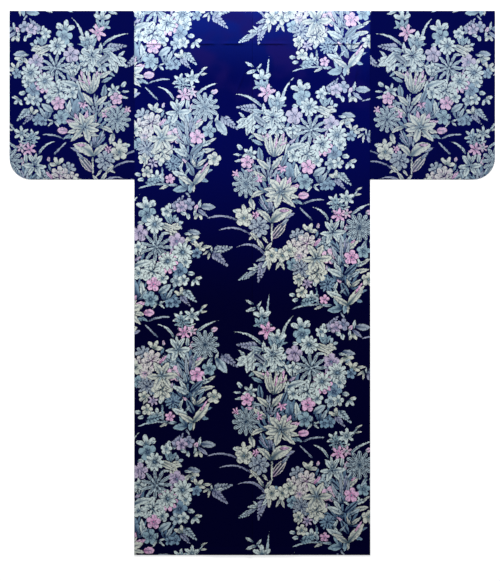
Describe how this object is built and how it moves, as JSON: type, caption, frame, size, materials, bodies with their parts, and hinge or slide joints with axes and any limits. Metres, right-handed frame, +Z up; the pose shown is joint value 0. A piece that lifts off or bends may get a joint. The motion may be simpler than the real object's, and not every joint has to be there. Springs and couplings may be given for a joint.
{
  "type": "cotton yukata robe",
  "caption": "Cotton yukata robe laid flat on its front with its back up, wide sleeves spread, folded at the shoulders, with overlapping fronts and a collar band beneath.",
  "frame": {"origin": "on the floor, under the middle of the robe's bounding box", "axes": "+Y from the hem towards the neck, +X towards the wearer's right sleeve, +Z up out of the robe's back"},
  "size_m": [1.338, 1.5, 0.0047],
  "materials": {
    "printed_cotton": "plain-woven cotton, navy ground with a pale floral print, matt"
  },
  "bodies": {
    "root": {"body_left": "printed_cotton", "body_right": "printed_cotton", "sleeve_left": "printed_cotton", "sleeve_right": "printed_cotton", "overlap_left": "printed_cotton", "overlap_right": "printed_cotton", "collar": "printed_cotton"}
  },
  "joints": []
}
